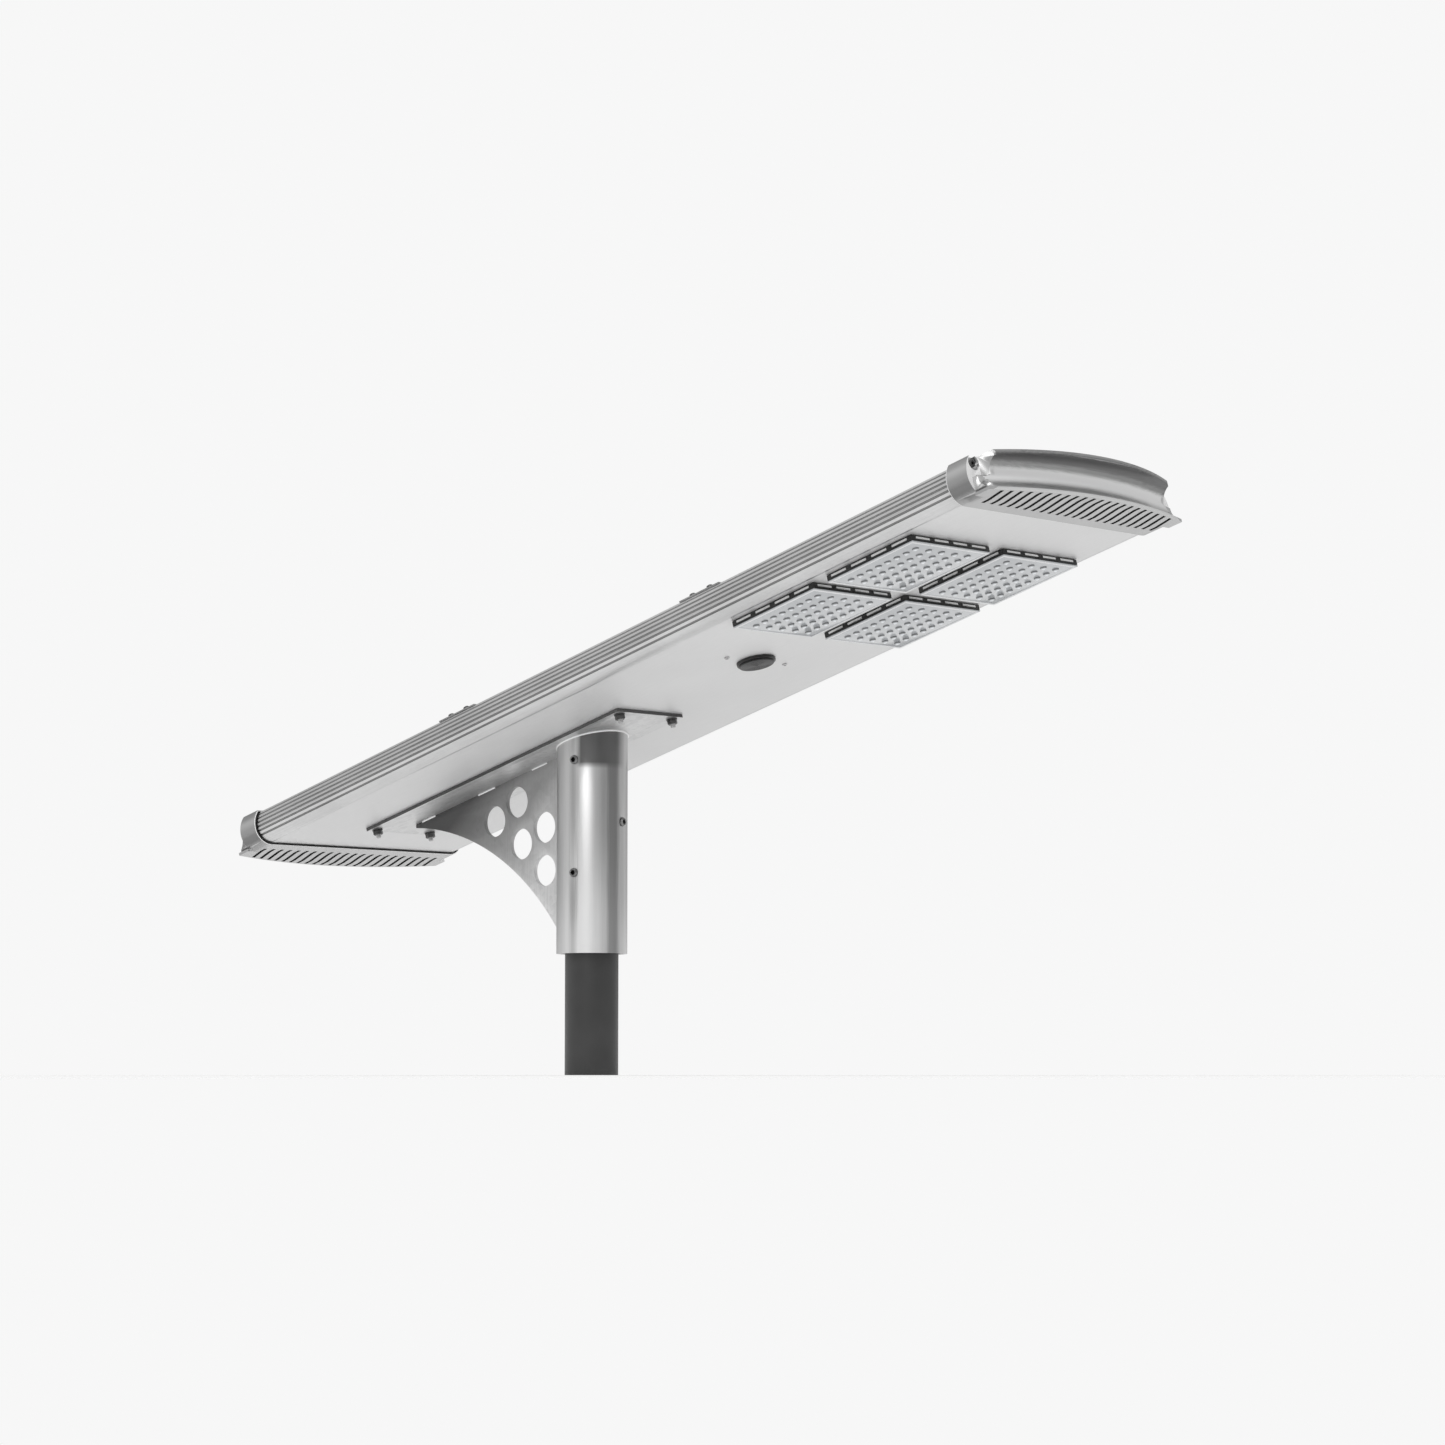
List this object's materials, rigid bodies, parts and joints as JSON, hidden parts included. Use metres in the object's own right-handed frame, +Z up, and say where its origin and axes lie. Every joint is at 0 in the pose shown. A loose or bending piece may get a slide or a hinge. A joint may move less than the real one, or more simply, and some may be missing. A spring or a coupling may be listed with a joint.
{
  "type": "solar street lamp",
  "caption": "All-in-one solar street lamp: a long flat head with a panel on its back and lamp modules and a motion sensor below, tilted on a sleeve bracket over its pole.",
  "frame": {"origin": "centre of the pole section's lower end face", "axes": "+Z up the pole, +X towards the lamp end of the head, +Y across the head"},
  "size_m": [1.2208, 0.322, 0.6184],
  "materials": {
    "pole_paint": "satin dark grey powder coat",
    "bracket_steel": "hot-dip galvanised and brushed",
    "plate_steel": "light grey powder coat",
    "fastener_steel": "dark passivated steel",
    "set_screw_steel": "plain steel",
    "rail_aluminium": "anodised satin",
    "floor_aluminium": "bead-blasted anodised",
    "cast_aluminium": "brushed casting",
    "seal_rubber": "matt silicone",
    "panel_glass": "tempered, low glare",
    "solar_cells": "monocrystalline cells",
    "panel_backing": "white laminate",
    "clamp_steel": "black coated steel",
    "lamp_frame": "dark grey moulded frame",
    "circuit_board": "white aluminium-core board",
    "lens": "clear frosted lens sheet",
    "sensor_black": "black housing",
    "sensor_lens": "dark grained lens",
    "tray_aluminium": "folded sheet",
    "cell_wrap": "shrink-wrapped cells",
    "controller_case": "potted controller case",
    "black_plastic": "moulded box",
    "lead_jacket": "round two-core lead"
  },
  "bodies": {
    "pole": {"pole_top_section": "pole_paint"},
    "lamp": {"battery_cells": "cell_wrap", "battery_cover": "tray_aluminium", "battery_lead": "lead_jacket", "battery_tray": "tray_aluminium", "charge_controller": "controller_case", "end_cap_front": "cast_aluminium", "end_cap_rear": "cast_aluminium", "end_cap_screws_front": "fastener_steel", "end_cap_screws_rear": "fastener_steel", "end_gasket_front": "seal_rubber", "end_gasket_rear": "seal_rubber", "floor_plate": "floor_aluminium", "gusset_web": "bracket_steel", "lamp_board_1": "circuit_board", "lamp_board_2": "circuit_board", "lamp_board_3": "circuit_board", "lamp_board_4": "circuit_board", "lamp_frame_1": "lamp_frame", "lamp_frame_2": "lamp_frame", "lamp_frame_3": "lamp_frame", "lamp_frame_4": "lamp_frame", "lamp_lead": "lead_jacket", "lead_grommet": "seal_rubber", "lens_plate_1": "lens", "lens_plate_2": "lens", "lens_plate_3": "lens", "lens_plate_4": "lens", "mount_bolts": "fastener_steel", "mount_nuts": "fastener_steel", "mount_plate": "plate_steel", "mount_washers": "fastener_steel", "panel_backing": "panel_backing", "panel_cells": "solar_cells", "panel_clamp_screws": "fastener_steel", "panel_clamps": "clamp_steel", "panel_glass": "panel_glass", "panel_junction_box": "black_plastic", "panel_lead": "lead_jacket", "sensor_base": "sensor_black", "sensor_element": "circuit_board", "sensor_face": "sensor_lens", "sensor_screws": "fastener_steel", "side_rail_far": "rail_aluminium", "side_rail_near": "rail_aluminium", "sleeve_tube": "bracket_steel", "stiffener_plate": "plate_steel"},
    "set_screw_near_upper_body": {"set_screw_near_upper": "set_screw_steel"},
    "set_screw_near_lower_body": {"set_screw_near_lower": "set_screw_steel"},
    "set_screw_front_body": {"set_screw_front": "set_screw_steel"},
    "set_screw_far_upper_body": {"set_screw_far_upper": "set_screw_steel"},
    "set_screw_far_lower_body": {"set_screw_far_lower": "set_screw_steel"}
  },
  "joints": [
    {"name": "lamp_swivel", "type": "hinge", "parent": "pole", "child": "lamp", "pos_m": [0, 0, 0.258], "axis": [0, 0, 1], "continuous": true},
    {"name": "set_screw_near_upper_travel", "type": "slide", "parent": "lamp", "child": "set_screw_near_upper_body", "axis": [0.2588, -0.9659, 0], "range_m": [0, 0.006]},
    {"name": "set_screw_near_lower_travel", "type": "slide", "parent": "lamp", "child": "set_screw_near_lower_body", "axis": [0.2588, -0.9659, 0], "range_m": [0, 0.006]},
    {"name": "set_screw_front_travel", "type": "slide", "parent": "lamp", "child": "set_screw_front_body", "axis": [0.9659, 0.2588, 0], "range_m": [0, 0.006]},
    {"name": "set_screw_far_upper_travel", "type": "slide", "parent": "lamp", "child": "set_screw_far_upper_body", "axis": [-0.2588, 0.9659, 0], "range_m": [0, 0.006]},
    {"name": "set_screw_far_lower_travel", "type": "slide", "parent": "lamp", "child": "set_screw_far_lower_body", "axis": [-0.2588, 0.9659, 0], "range_m": [0, 0.006]}
  ]
}
